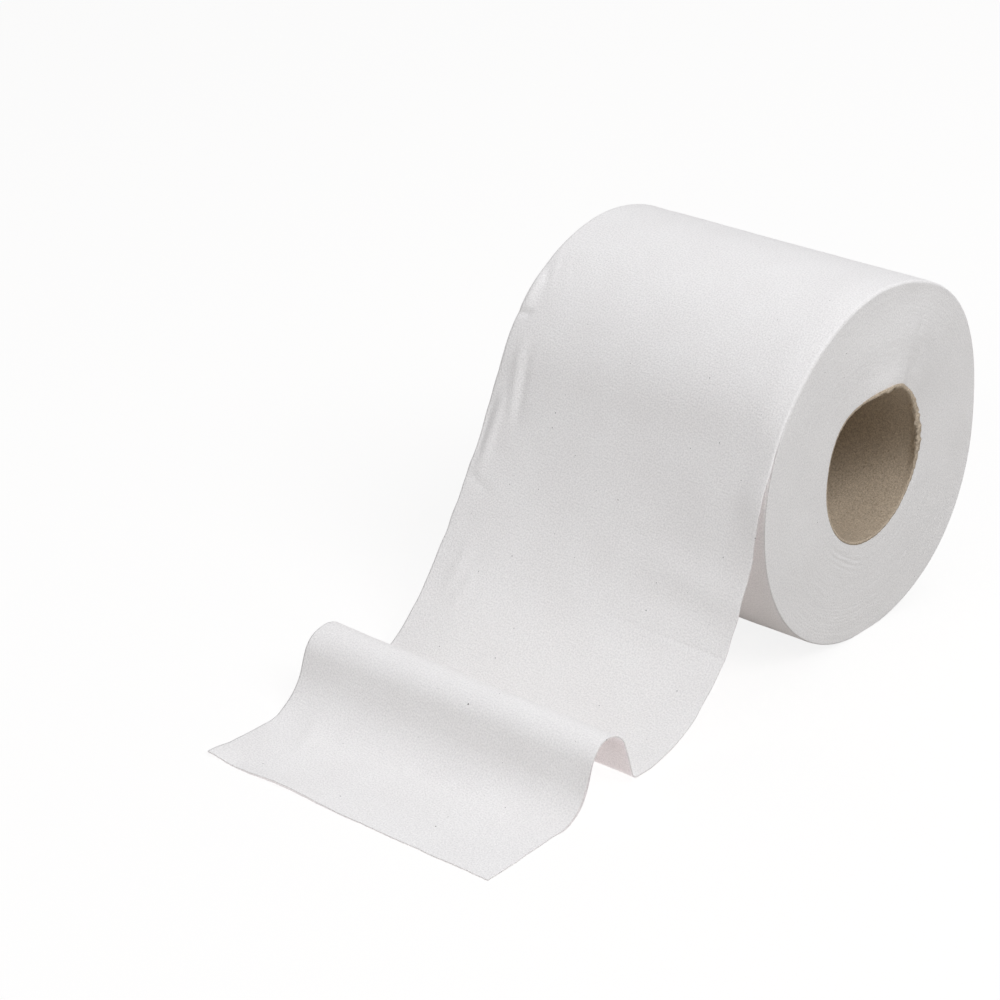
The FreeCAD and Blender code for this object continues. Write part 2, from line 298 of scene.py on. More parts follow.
def walk(points, distance):
    """Points at distances (stop, line) along each line, where points is (sample, line, xz)."""
    steps = np.linalg.norm(np.diff(points, axis=0), axis=2)
    walked = np.vstack([np.zeros(steps.shape[1]), np.cumsum(steps, axis=0)])
    places = [[np.interp(distance[:, line], walked[:, line], points[:, line, axis])
               for line in range(points.shape[1])] for axis in (0, 1)]
    return np.transpose(places, (2, 1, 0))


# %% [markdown]
# ## The whole sheet
# The last full turn on the roll and the tail are one web, so one function gives both. Distance is
# counted along the paper from where it leaves the roll: minus is back round the roll, plus is
# down the tail. Round the roll the paper follows a spiral that loses one thickness each turn.
# At the roll's ends the outermost paper is bruised over the corner, which leaves the soft pale
# lip that shows along the near rim. Handling has also squeezed the near end out of round: it
# swells at the upper right and the lower right, and is flatter between them and underneath.

# %% Small shapes that wrinkles are made of
RIPPLE_TABLE = 64


def ease(value, start, end):
    """0 before start, 1 after end, and a smooth S between them."""
    t = np.clip((value - start) / (end - start), 0, 1)
    return t * t * (3 - 2 * t)


def bell(value, middle, width):
    """A smooth bump, 1 high at its middle and gone after about twice its width."""
    return np.exp(-((value - middle) / width) ** 2)


def sector(angle, middle, width):
    """1 at an angle in degrees, fading to both sides within about its width."""
    return bell((np.degrees(angle) - middle + 180) % 360 - 180, 0, width)


def ripple(a, b, scale, seed):
    """Smooth random height from -1 to 1 over two coordinates, with lumps about scale wide.

    Random numbers stand on a square grid of that scale, and each point takes an eased blend of
    the four round it.
    """
    count = RIPPLE_TABLE
    table = np.random.default_rng(seed).uniform(-1, 1, (count, count))
    a, b = np.broadcast_arrays(np.asarray(a) / scale, np.asarray(b) / scale)
    row, column = np.floor(a).astype(int), np.floor(b).astype(int)
    along, across = a - row, b - column
    along, across = along ** 2 * (3 - 2 * along), across ** 2 * (3 - 2 * across)
    corners = [table[(row + i) % count, (column + j) % count] for i, j in
               ((0, 0), (0, 1), (1, 0), (1, 1))]
    near = corners[0] * (1 - across) + corners[1] * across
    far = corners[2] * (1 - across) + corners[3] * across
    return near * (1 - along) + far * along


def crease(distance, across, start, end, width):
    """A ridge 1 high along the line between two places (distance, across) on the sheet.

    Its section is a bell, and it fades out at both ends as the root of a sine does.
    """
    start, end = np.array(start, float), np.array(end, float)
    run = end - start
    length = np.linalg.norm(run)
    share = ((distance - start[0]) * run[0] + (across - start[1]) * run[1]) / length ** 2
    held = np.clip(share, 0, 1)
    off = np.hypot(distance - start[0] - held * run[0], across - start[1] - held * run[1])
    fade = np.sin(np.pi * np.clip(share, 0.02, 0.98)) ** 0.5
    return bell(off, 0, width) * fade


# %% Where the sheet is
BRUISE_RADIUS = 0.85
SWELL_REACH = 26.0
# The near rim's swellings and, with a minus, its flats: middle and width in degrees, height in mm.
RIM_SWELLS = [(-42, 30, 2.6), (42, 22, 1.5), (3, 12, -0.45), (-90, 12, -0.2), (75, 22, -0.5)]
# The soft edge of the turns beside the tail, in mm, and where it is, in degrees.
SOFT_EDGE = 9.0
EDGE_DROP = 0.7
DROP_MIDDLE = 118
DROP_WIDTH = 34
DROP_FADE = 24
FULL_TURN = 2 * math.pi * (roll_radius - WEB)


def swell(angle, across):
    """How far the roll's outside stands out of round at an angle, fading from the near end.

    On the side of the tail the last turns also drop off softly towards the rim, by the square of
    how near they are to it. The drop fades to nothing where the tail leaves the roll.
    """
    out = 0.0
    for middle, width, height in RIM_SWELLS:
        out = out + height * sector(angle, middle, width)
    dropped = np.clip((SOFT_EDGE - across - roll_half_width) / SOFT_EDGE, 0, 1) ** 2
    out = out * bell(across + roll_half_width, 0, SWELL_REACH)
    past_leaving = np.degrees(math.pi - LEAVE_ANGLE - angle) % 360
    faded = ease(past_leaving, 0, DROP_FADE) * ease(360 - past_leaving, 0, DROP_FADE)
    return out - EDGE_DROP * dropped * sector(angle, DROP_MIDDLE, DROP_WIDTH) * faded


def sheet_surface(distance, across):
    """Underside of the web at distances along it and places across it, with its outward normal.

    Both are (distance, across, xyz) in millimetres. Up to distance 0 the web turns about the
    roll's axis, and its radius shrinks by one web thickness a turn. After it, the web follows
    the tail's lines, and the whole tail drifts a little towards the near end.
    """
    share = across / (2 * roll_half_width) + 0.5
    wound = distance[distance <= 0]
    turned = -wound / (roll_radius - WEB)
    radius = roll_radius - WEB * (1 + turned[:, None] / (2 * math.pi))
    angle = math.pi - LEAVE_ANGLE - turned[:, None]
    radius = radius + swell(angle, across[None])
    on_roll = np.stack([radius * np.cos(angle), axis_height + radius * np.sin(angle)], -1)
    length = TAIL["length"][0] + (TAIL["length"][1] - TAIL["length"][0]) * share
    on_tail = walk(tail_lines(share), distance[distance > 0][:, None] * length / TAIL_LENGTH)
    line = np.concatenate([on_roll, on_tail])

    fallen = np.array([-math.sin(LEAVE_ANGLE), -math.cos(LEAVE_ANGLE)])
    leaving = np.array([-math.cos(LEAVE_ANGLE), math.sin(LEAVE_ANGLE)]) * (roll_radius - WEB)
    dropped = (line - leaving - [0, axis_height]) @ fallen
    drift = -math.sin(TAIL_DRIFT) * dropped * (distance > 0)[:, None]
    place = np.stack([line[..., 0], across[None] + drift, line[..., 1]], -1)
    return place, sheet_normal(place)


def sheet_normal(place):
    """Outward normal of a grid of points, from the slopes along both of its directions."""
    along = np.gradient(place, axis=0)
    over = np.gradient(place, axis=1)
    normal = np.cross(over, along)
    return normal / np.linalg.norm(normal, axis=2, keepdims=True)


# %% [markdown]
# ## Into meshes
# A grid of points becomes a mesh of four-sided faces, and two grids, one above the other, become
# a thin closed plate whose edge faces show the paper's thickness. The points are whole arrays,
# so one call puts all of them into the mesh.

# %% Grids to meshes
def grid_faces(rows, columns, first=0, turned=False):
    """Quads between the points of a grid, numbered row by row from first."""
    index = first + np.arange(rows * columns).reshape(rows, columns)
    quads = np.stack([index[:-1, :-1], index[:-1, 1:], index[1:, 1:], index[1:, :-1]], -1)
    quads = quads.reshape(-1, 4)
    return quads[:, ::-1] if turned else quads


def edge_loop(rows, columns):
    """Numbers of the points round the edge of a grid, in order."""
    index = np.arange(rows * columns).reshape(rows, columns)
    return np.concatenate([index[0, :-1], index[:-1, -1], index[-1, :0:-1], index[:0:-1, 0]])


def make_object(name, points, quads, material, uv=None):
    """Put points in millimetres and their faces into a new object that is shaded smoothly."""
    mesh = bpy.data.meshes.new(name)
    mesh.vertices.add(len(points))
    mesh.vertices.foreach_set("co", (np.asarray(points) * MM).ravel())
    mesh.loops.add(quads.size)
    mesh.loops.foreach_set("vertex_index", quads.ravel())
    mesh.polygons.add(len(quads))
    mesh.polygons.foreach_set("loop_start", np.arange(0, quads.size, 4))
    mesh.update(calc_edges=True)
    mesh.validate()
    mesh.polygons.foreach_set("use_smooth", np.ones(len(mesh.polygons), bool))
    if uv is not None:
        layer = mesh.uv_layers.new(name="sheet")
        layer.data.foreach_set("uv", uv[quads.ravel()].ravel())
    mesh.materials.append(material)
    thing = bpy.data.objects.new(name, mesh)
    bpy.context.scene.collection.objects.link(thing)
    print(name, "has", len(points), "points and", len(quads), "faces")
    return thing


def make_plate(name, top, bottom, material, uv):
    """A thin closed plate from its top and bottom grids; its rim stays a sharp paper edge."""
    rows, columns = top.shape[:2]
    count = rows * columns
    upper = edge_loop(rows, columns)
    lower = upper + count
    rim = np.stack([upper, np.roll(upper, -1), np.roll(lower, -1), lower], -1)
    quads = np.concatenate([
        grid_faces(rows, columns),
        grid_faces(rows, columns, first=count, turned=True),
        rim[:, ::-1],
    ])
    points = np.concatenate([top.reshape(-1, 3), bottom.reshape(-1, 3)])
    return make_object(name, points, quads, material, np.concatenate([uv, uv]))


# %% [markdown]
# ## Tissue as a material
# Two-ply recycled tissue is creped and embossed with a fine lattice of dots. It is matt and
# slightly warm, which shows where light bounces between its turns, and a few dark fibres of the
# old print survive in it. It is also so thin that much of the light comes through: the loose
# plies cast a weak shadow, and their underside glows, which keeps the hollow under the hump from
# going black. The dots are the sum of three waves at 60 degrees to each other, on the sheet's own
# map in millimetres. Their rows run slantwise, and the creping makes them uneven. Real creping is
# finer than the grain here, which is as coarse as it needs to be to show.

# %% The relief of the tissue
EMBOSS_ROW = 0.95
EMBOSS_SLANT = 17
EMBOSS_HEIGHT = 0.06
GRAINS_PER_MM = 2.0
GRAIN_HEIGHT = 6.0


def tissue_relief(tree, place, emboss):
    """The height of the dots, times emboss, and of the creping, and then the creping's noise."""
    waves = []
    for turn in range(3):
        angle = math.radians(60 * turn + EMBOSS_SLANT)
        step = 2 * math.pi / EMBOSS_ROW
        direction = (math.cos(angle) * step, math.sin(angle) * step, 0)
        phase = add_node(tree, "ShaderNodeVectorMath", {0: place, 1: direction},
                         operation="DOT_PRODUCT")
        waves.append(add_node(tree, "ShaderNodeMath", {0: phase.outputs["Value"]},
                              operation="COSINE").outputs[0])
    pair = add_node(tree, "ShaderNodeMath", {0: waves[0], 1: waves[1]}, operation="ADD")
    dots = add_node(tree, "ShaderNodeMath", {0: pair.outputs[0], 1: waves[2]}, operation="ADD")
    crepe = add_node(tree, "ShaderNodeTexNoise", {"Vector": place, "Scale": GRAINS_PER_MM,
                                                  "Detail": 2.0, "Roughness": 0.6},
                     noise_dimensions="2D")
    fibre = add_node(tree, "ShaderNodeMath", {0: crepe.outputs["Fac"], 1: GRAIN_HEIGHT},
                     operation="MULTIPLY")
    height = add_node(tree, "ShaderNodeMath", {0: dots.outputs[0], 1: emboss, 2: fibre.outputs[0]},
                      operation="MULTIPLY_ADD")
    return height.outputs[0], crepe.outputs["Fac"]


# %% The colour of the tissue
CLOUDS_PER_MM = 0.06
GRAIN_TINT = 0.08
SPECK_SPACING = 9.0
SPECK_SIZE = 0.17
SPECK_RARITY = 3.0
SPECK_COLOUR = "#9C9896"
MARK_COLOUR = "#5E5957"


def tissue_colour(tree, place, crepe, tints, marks):
    """Paper in soft clouds of two tints, grained by the creping, with specks and darker marks.

    A speck is a disc at the middle of a random cell. The cell's own number, raised to a power so
    that few are large, gives its size.
    """
    cells = add_node(tree, "ShaderNodeTexVoronoi", {"Vector": place,
                                                    "Scale": 1 / SPECK_SPACING},
                     voronoi_dimensions="2D")
    size_here = add_node(tree, "ShaderNodeSeparateColor", {0: cells.outputs["Color"]})
    wanted = add_node(tree, "ShaderNodeMath", {0: size_here.outputs[0], 1: SPECK_RARITY},
                      operation="POWER")
    reach = add_node(tree, "ShaderNodeMath", {0: wanted.outputs[0], 1: SPECK_SIZE / SPECK_SPACING},
                     operation="MULTIPLY")
    speck = add_node(tree, "ShaderNodeMath", {0: cells.outputs["Distance"], 1: reach.outputs[0]},
                     operation="LESS_THAN")
    cloud = add_node(tree, "ShaderNodeTexNoise", {"Vector": place, "Scale": CLOUDS_PER_MM,
                                                  "Detail": 3.0}, noise_dimensions="2D")
    dull, pale = tints
    paper = add_node(tree, "ShaderNodeMix", {"Factor": cloud.outputs["Fac"],
                                             6: linear(dull), 7: linear(pale)},
                     data_type="RGBA")
    grain = add_node(tree, "ShaderNodeMapRange", {0: crepe, 1: 0.3, 2: 0.7,
                                                  3: 1 - GRAIN_TINT, 4: 1 + GRAIN_TINT})
    grained = add_node(tree, "ShaderNodeVectorMath", {0: paper.outputs[2],
                                                      "Scale": grain.outputs[0]},
                       operation="SCALE")
    colour = add_node(tree, "ShaderNodeMix", {"Factor": speck.outputs[0], 6: grained.outputs[0],
                                              7: linear(SPECK_COLOUR)}, data_type="RGBA")
    for mark, radius in marks:
        away = add_node(tree, "ShaderNodeVectorMath", {0: place, 1: mark}, operation="DISTANCE")
        inside = add_node(tree, "ShaderNodeMath", {0: away.outputs["Value"], 1: radius},
                          operation="LESS_THAN")
        colour = add_node(tree, "ShaderNodeMix", {"Factor": inside.outputs[0], 6: colour.outputs[2],
                                                  7: linear(MARK_COLOUR)}, data_type="RGBA")
    return colour.outputs[2]


# %% Tissue as one shader
def tissue_material(name, coordinates, emboss, tints, passed=0.0, glow=0.0, marks=()):
    """Tissue paper on coordinates in millimetres that coordinates(tree) gives.

    tints are its dull and its pale colour. passed is the share of a lamp's light that each face
    lets through, and glow is how much of its own brightness a face takes from the light behind
    it. marks are dark flecks at a place, with their radius.
    """
    material, tree, output = new_material(name)
    place = coordinates(tree)
    height, crepe = tissue_relief(tree, place, emboss)
    bump = add_node(tree, "ShaderNodeBump", {"Height": height, "Strength": 1.0,
                                             "Distance": EMBOSS_HEIGHT / 3 * MM})
    colour = tissue_colour(tree, place, crepe, tints, marks)
    shader = add_node(tree, "ShaderNodeBsdfPrincipled", {
        "Base Color": colour, "Roughness": 0.95, "Specular IOR Level": 0.15,
        "Sheen Weight": 0.12, "Sheen Roughness": 0.6, "Normal": bump.outputs[0]})
    behind = add_node(tree, "ShaderNodeBsdfTranslucent", {"Color": colour})
    lit = add_node(tree, "ShaderNodeMixShader", {0: glow, 1: shader.outputs[0],
                                                 2: behind.outputs[0]})
    clear = add_node(tree, "ShaderNodeBsdfTransparent")
    path = add_node(tree, "ShaderNodeLightPath")
    share = add_node(tree, "ShaderNodeMath", {0: path.outputs["Is Shadow Ray"], 1: passed},
                     operation="MULTIPLY")
    surface = add_node(tree, "ShaderNodeMixShader", {0: share.outputs[0], 1: lit.outputs[0],
                                                     2: clear.outputs[0]})
    tree.links.new(surface.outputs[0], output.inputs["Surface"])
    print(name, "takes", len(tree.nodes), "nodes")
    return material


# %% The two finishes of the sheet
SHEET_LENGTH = FULL_TURN + TAIL_LENGTH


def sheet_millimetres(tree):
    """The sheet's own map, stretched to millimetres."""
    map_node = add_node(tree, "ShaderNodeUVMap", uv_map="sheet")
    stretch = add_node(tree, "ShaderNodeMapping", {
        "Vector": map_node.outputs[0], "Scale": (2 * roll_half_width, SHEET_LENGTH, 1)})
    return stretch.outputs[0]


PLY_EMBOSS = 0.22
OUTER_TINTS = ("#F0EDEA", "#F5F3F0")
INNER_TINTS = ("#F0EDED", "#F5F3F3")
LIGHT_PASSED = 0.69
GLOW_THROUGH = 1.0
# The two flecks that can be told apart on the hump and the flap, as (place, radius).
FLECKS = [((roll_half_width - 6.7, FULL_TURN + 129.4, 0), 0.23),
          ((roll_half_width - 21.8, FULL_TURN + 169.7, 0), 0.17)]
tissue_paper = tissue_material("embossed_recycled_tissue", sheet_millimetres, PLY_EMBOSS,
                               OUTER_TINTS, passed=LIGHT_PASSED, marks=FLECKS)
lower_tissue = tissue_material("recycled_tissue_inner_ply", sheet_millimetres, PLY_EMBOSS,
                               INNER_TINTS, passed=LIGHT_PASSED, glow=GLOW_THROUGH)

# %% [markdown]
# ## The two plies
# Each ply is a thin plate on the sheet's surface. They lie together on the roll and part a little
# along the tail's open edges, where the lower one hangs away and the torn end is uneven. All
# wrinkles are moves along the normal, shared by both plies, so they never cross. The grid is
# finer where the paper bends more: at its edges, its perforation and its torn end.

# %% Grids along and across the sheet
def uneven(stops, counts):
    """Numbers from stop to stop with a chosen count of equal steps in each stretch."""
    runs = [np.linspace(a, b, count, endpoint=False) for a, b, count
            in zip(stops, stops[1:], counts)]
    return np.concatenate(runs + [[stops[-1]]])


PERFORATION = 56.8
half = roll_half_width
end = TAIL_LENGTH
sheet_distance = uneven(
    [-FULL_TURN, -45.0, 0.0, PERFORATION - 2, PERFORATION + 2, 100.0, end - 12, end - 1, end],
    [100, 58, 64, 20, 46, 90, 22, 5])
sheet_across = uneven([-half, -half + 1, -half + 5, -half + 15, half - 24, half - 5, half],
                      [5, 8, 12, 30, 32, 11])
print("sheet grid", len(sheet_distance), "by", len(sheet_across))

# %% What wrinkles the sheet
PERFORATION_GROOVE = 0.06
PERFORATION_FOLD = 0.50
EDGE_LIFT = 1.1
END_LIFT = 1.1
CORNER_CURL = 1.2
SIDE_PARTING = 0.8
END_PARTING = 0.3
# Ridges and, with a minus, grooves that the photograph shows: each goes from one place to another
# as (distance, across), and has a height and a width.
CREASES = [
    ((-29, 46.0), (-18, 45.8), 0.6, 1.6),
    ((-16.4, 42.5), (-15.4, 48.5), -0.7, 1.0),
    ((-40, 46.5), (-24, 40.5), 0.14, 1.3),
    ((-37, 42.5), (-27, 37.0), 0.12, 1.2),
    ((-33, 47.5), (-26, 43.0), -0.14, 1.0),
    ((-9, 41.8), (13, 39.6), 0.34, 1.6),
    ((-6, 38.4), (16, 36.4), -0.26, 1.4),
    ((7, 43.2), (31, 44.0), 0.36, 1.5),
    ((9, 46.2), (27, 46.6), -0.34, 1.2),
    ((32.0, 47.5), (35.6, 38.0), -0.22, 1.3),
    ((51, 38.6), (66, 40.4), 0.26, 2.0),
    ((58, 33.5), (70, 36.0), 0.20, 1.8),
    ((37.4, -10.0), (42.4, -52.0), 0.50, 5.0),
    ((46.5, -20.0), (50.0, -52.0), -0.35, 5.0),
    ((150, 36.0), (166, 30.0), 0.22, 2.2),
]


def sheet_wrinkles(distance, across):
    """Height of every dent, crease and curl of the web, in millimetres along its normal.

    It is a sum of smooth random waves, the listed creases, the perforation's groove in its soft
    fold, the bulges of the near edge where it leaves the roll, and the lift of the torn end.
    """
    s, y = np.meshgrid(distance, across, indexing="ij")
    loose = ease(s, -4, 14)
    height = 0.22 * loose * ripple(s, y, 26.0, 1)
    height += 0.06 * ripple(s, y, 7.0, 2) + 0.02 * loose * ripple(s, y, 2.6, 3)
    for start, stop, tall, width in CREASES:
        height += tall * crease(s, y, start, stop, width)

    perforated = PERFORATION - 0.02 * (y + half)
    groove = PERFORATION_GROOVE * bell(s, perforated, 0.6)
    height -= groove * (0.5 + 0.5 * ease(-y, -20, 45))
    fold = PERFORATION_FOLD * np.exp(-np.sqrt((s - perforated) ** 2 + 0.6) / 5)
    height -= fold * ease(-y, 0, 46)

    at_edge = EDGE_LIFT * ease(-y, 38, half) * bell(s, 14, 9)
    height += at_edge + ease(-y, 5, 42) * bell(s, 20, 13)
    before_leaving = 0.5 * bell(s, -13, 10) - 0.2 * bell(s, 3, 8)
    height += before_leaving * ease(-y, -30, 25) * ease(y + half, 0, 7)

    raised = END_LIFT * bell(y, 21, 12.5) * ease(s, end - 9, end)
    curled = CORNER_CURL * ease(y, 37, half) * ease(s, end - 11, end)
    return height + raised + curled


def parted(distance, across):
    """How far the lower ply hangs away from the upper one, at the hump's side and at the end."""
    s, y = np.meshgrid(distance, across, indexing="ij")
    beside = SIDE_PARTING * ease(-y, 42.5, half) * bell(s, 141, 8)
    return beside + END_PARTING * bell(y, 21, 15) * ease(s, end - 7, end)


# %% Where the sheet wraps over the roll's corners, and its edges
def corner_arc(across):
    """How deep the paper sinks, and how far it moves inward, where it wraps over a corner."""
    over = np.clip(np.abs(across) - (half - BRUISE_RADIUS), 0, None) / BRUISE_RADIUS
    inward = (over - np.sin(over)) * BRUISE_RADIUS * -np.sign(across)
    return (1 - np.cos(over)) * BRUISE_RADIUS, inward


def bruised(place, normal, distance, across):
    """Wrap the outermost paper over the roll's corners: an arc that it runs onto near each end.

    The edge of a sheet also wanders a little, and the torn end has short uneven teeth.
    """
    on_roll = 1 - ease(distance, -3, 14)[:, None]
    sunk, inward = corner_arc(across)
    moved = place - normal * (on_roll * sunk[None])[..., None]
    moved[..., 1] += on_roll * inward[None]
    at_edge = ease(np.abs(across), half - 1.2, half)[None] * np.sign(across)[None]
    wander = (0.22 - 0.16 * on_roll) * ripple(distance[:, None], 0 * at_edge, 5.0, 11)
    moved[..., 1] += at_edge * wander
    teeth = ripple(across, 0 * across, 0.7, 12) * 0.1 + ripple(across, 0 * across, 4.0, 13) * 0.12
    moved[..., 0] -= ease(distance, end - 1.2, end)[:, None] * teeth[None]
    return moved


# %% The wrinkled surface, and a ply on it
PLY = 0.17

base, outward = sheet_surface(sheet_distance, sheet_across)
wrinkles = sheet_wrinkles(sheet_distance, sheet_across)
wrinkled = base + outward * wrinkles[..., None]
print("wrinkles from", round(wrinkles.min(), 2), "to", round(wrinkles.max(), 2), "mm")
u = sheet_across / (2 * half) + 0.5
v = (sheet_distance + FULL_TURN) / SHEET_LENGTH
sheet_uv = np.stack(np.broadcast_arrays(u[None], v[:, None]), -1).reshape(-1, 2)


def make_ply(name, lift, material, hang=0.0):
    """One ply, lift above the web's underside, from which it hangs away by hang times parted.

    Neither of its faces goes below where it lies on the floor.
    """
    hung = wrinkled - outward * (hang * parted(sheet_distance, sheet_across))[..., None]
    bottom = bruised(hung + outward * lift, outward, sheet_distance, sheet_across)
    top = bruised(hung + outward * (lift + PLY), outward, sheet_distance, sheet_across)
    bottom[..., 2] = np.maximum(bottom[..., 2], lift)
    top[..., 2] = np.maximum(top[..., 2], lift + PLY)
    return make_plate(name, top, bottom, material, sheet_uv)


upper_ply = make_ply("upper_ply", WEB - PLY, tissue_paper)
lower_ply = make_ply("lower_ply", 0.0, lower_tissue, hang=1.0)

# %% [markdown]
# ## The wound turns
# Under the loose sheet lie about 120 turns. Only their edges show, on the two round end faces.
# Those are a surface in two directions, outwards from the core and round the axis, and its
# relief is where each turn stands a little proud or shy of its neighbours. Single turns are too
# fine to show, so each edge line here stands for about four of them.

# %% The relief of the end faces
TURN_SHOWN = 1.0
TURN_RELIEF = 0.02
CALM_RIM = 3.0
# The sheet ends one radian round its corner, and the turns' faces go on from there.
CORNER_LEFT = BRUISE_RADIUS * math.cos(1.0)


def end_relief(radius, angle, rim, seed):
    """How far the turns' edges stand out of the end plane, in millimetres.

    It is a spiral wave, made uneven by four ripples, that calms down near the rim, less the arc
    of the rounded corner.
    """
    turn = radius / TURN_SHOWN - angle / (2 * math.pi)
    x, z = radius * np.cos(angle), radius * np.sin(angle)
    spiral = np.cos(2 * math.pi * turn)
    relief = TURN_RELIEF * spiral * (0.5 + 0.5 * ripple(x, z, 9.0, seed))
    relief += 0.03 * ripple(np.floor(turn) * 7.3, angle * 8, 2.0, seed + 1)
    relief += 0.18 * ripple(x, z, 16.0, seed + 2) + 0.03 * ripple(x, z, 1.1, seed + 3)
    corner = np.clip((radius - rim + CALM_RIM) / CALM_RIM, 0, 1)
    past = np.clip(radius - rim + CORNER_LEFT, 0, CORNER_LEFT)
    rounded = BRUISE_RADIUS - np.sqrt(BRUISE_RADIUS ** 2 - past ** 2)
    return relief * (1 - 0.9 * corner) - rounded


# %% What handling has done to the near end
MOUTH_PRESSED = 1.5
LIP_HEIGHT = 0.6
END_SLOPE = 0.085
# Waves in the slack turns below the core: their radius and depth.
SLACK_WAVES = [(27.2, 0.15), (28.8, 0.17), (30.4, 0.11)]
RING_HEIGHT = 0.045


def mouth(angle):
    """How far the near mouth of the tube is pressed out of round, at its upper left."""
    return MOUTH_PRESSED * sector(angle, 136, 28)


def near_dents(radius, angle):
    """How far the near end face is pushed out, in millimetres.

    It is the sum of a bend over the core, a lip round its top, a slope up to that lip, waves
    and rings in the slack turns below the core, and one fold at the upper right.
    """
    x, z = radius * np.cos(angle), radius * np.sin(angle)
    off = x - 21 - 0.5 * np.sin(z / 5)
    bend = 1.3 * np.exp(-np.sqrt(off ** 2 + 1.0) / 13) * ease(z, 8, 24)
    lip = LIP_HEIGHT * bell(radius, core_radius + 1.2, 4.2) * sector(angle, 90, 30)
    slope = END_SLOPE * (roll_radius - radius) * sector(angle, 88, 26)
    slope = slope * ease(np.degrees(angle), 56, 70)
    slack = np.zeros_like(radius)
    for start, depth in SLACK_WAVES:
        wave = start + 0.05 * (np.degrees(angle) % 360 - 240) + 0.4 * np.sin(7 * angle)
        slack -= depth * bell(radius, wave, 0.5) * sector(angle, -118, 20)
    uneven_turns = radius / TURN_SHOWN + 0.35 * ripple(x, z, 5.0, 27)
    rings = RING_HEIGHT * np.cos(2 * math.pi * uneven_turns) * bell(radius, 46, 5)
    rings = rings * sector(angle, -112, 26)
    fold = -0.25 * crease(x, z, (21.5, 42), (15.5, 33), 0.8)
    return bend + lip + slope + slack + rings + fold


# %% The turns as one body
BORE_GAP = 0.1
RIM_COVER = 0.33
BARREL_SUNK = 0.3
DENTS_FADE = 16
NEAR_ROWS = 150
FAR_ROWS = 70
TURN_RING_STEPS = 360
# How far in from the near rim the barrel's rings stand. The far rim has only the first three.
BARREL_STEPS = (0.3, 0.9, 1.8, 3.5, 7, 12, 18, 25, 34, 44)


def make_turns(material):
    """A closed ring: out along the near end face, across under the sheet, back in along the far.

    At the rims it covers the cut edges of the sheet. Between them it stays just under it.
    """
    bore = core_radius + BORE_GAP
    ring = np.linspace(0, 2 * math.pi, TURN_RING_STEPS, endpoint=False)
    under = roll_radius - WEB

    def face(side, rows):
        """Radius, angle and rim's radius over the near face, side -1, or the far one, side 1."""
        share, angle = np.meshgrid(np.linspace(0, 1, rows), ring, indexing="ij")
        edge = np.full(len(ring), side * half)
        rim = under + swell(ring, edge) - corner_arc(edge)[0] + RIM_COVER
        inner = bore + (mouth(angle) if side < 0 else 0)
        return inner + (rim[None] - inner) * share, angle, rim[None]

    near_radius, near_angle, near_rim = face(-1, NEAR_ROWS)
    far_radius, far_angle, far_rim = face(1, FAR_ROWS)
    near_out = end_relief(near_radius, near_angle, near_rim, 20)
    inside_rim = 1 - ease(near_radius, near_rim - DENTS_FADE, near_rim)
    near_out += near_dents(near_radius, near_angle) * inside_rim
    far_out = end_relief(far_radius, far_angle, far_rim, 30)
    steps = np.array(BARREL_STEPS)
    barrel = np.concatenate([steps - half, half - steps[2::-1]])
    barrel_y, barrel_angle = np.meshgrid(barrel, ring, indexing="ij")
    barrel_radius = under - BARREL_SUNK + swell(barrel_angle, barrel_y) - corner_arc(barrel_y)[0]
    radius = np.concatenate([near_radius, barrel_radius, far_radius[::-1]])
    angle = np.concatenate([near_angle, barrel_angle, far_angle[::-1]])
    y = np.concatenate([-half - near_out, barrel_y, (half + far_out)[::-1]])
    x = radius * np.cos(angle)
    z = axis_height + radius * np.sin(angle)
    points = np.stack([x, y, np.maximum(z, BARREL_SUNK)], -1)
    return close_tube("wound_turns", points, material)


def close_tube(name, points, material):
    """Join a grid to itself both ways, so that it makes a closed ring."""
    rows, columns = points.shape[:2]
    index = np.arange(rows * columns).reshape(rows, columns)
    below = np.roll(index, -1, axis=0)
    quads = np.stack([index, below, np.roll(below, -1, axis=1), np.roll(index, -1, axis=1)], -1)
    return make_object(name, points.reshape(-1, 3), quads.reshape(-1, 4), material)


# %% The cut edges as a finish
EDGE_TINTS = ("#EAE8E5", "#F1EFEC")
EDGE_EMBOSS = 0.05


def end_millimetres(tree):
    """Object coordinates in millimetres, seen along the roll's axis."""
    where = add_node(tree, "ShaderNodeTexCoord")
    turned = add_node(tree, "ShaderNodeMapping", {
        "Vector": where.outputs["Object"], "Scale": (1 / MM, 1 / MM, 1 / MM),
        "Rotation": (math.radians(90), 0, 0)})
    return turned.outputs[0]


turn_edges = tissue_material("cut_tissue_edges", end_millimetres, EDGE_EMBOSS, EDGE_TINTS)
wound_turns = make_turns(turn_edges)

# %% [markdown]
# ## The cardboard tube
# The tube is wound from two plies of grey-brown recycled board, and the saw that cuts the log
# leaves its rim fuzzy. It is a ring whose section is followed round the axis.

# %% Board as a finish
FIBRES_PER_MM = 1.9
FIBRE_RELIEF = 0.15
DARK_BOARD = "#55402B"
PALE_BOARD = "#FBEAD0"


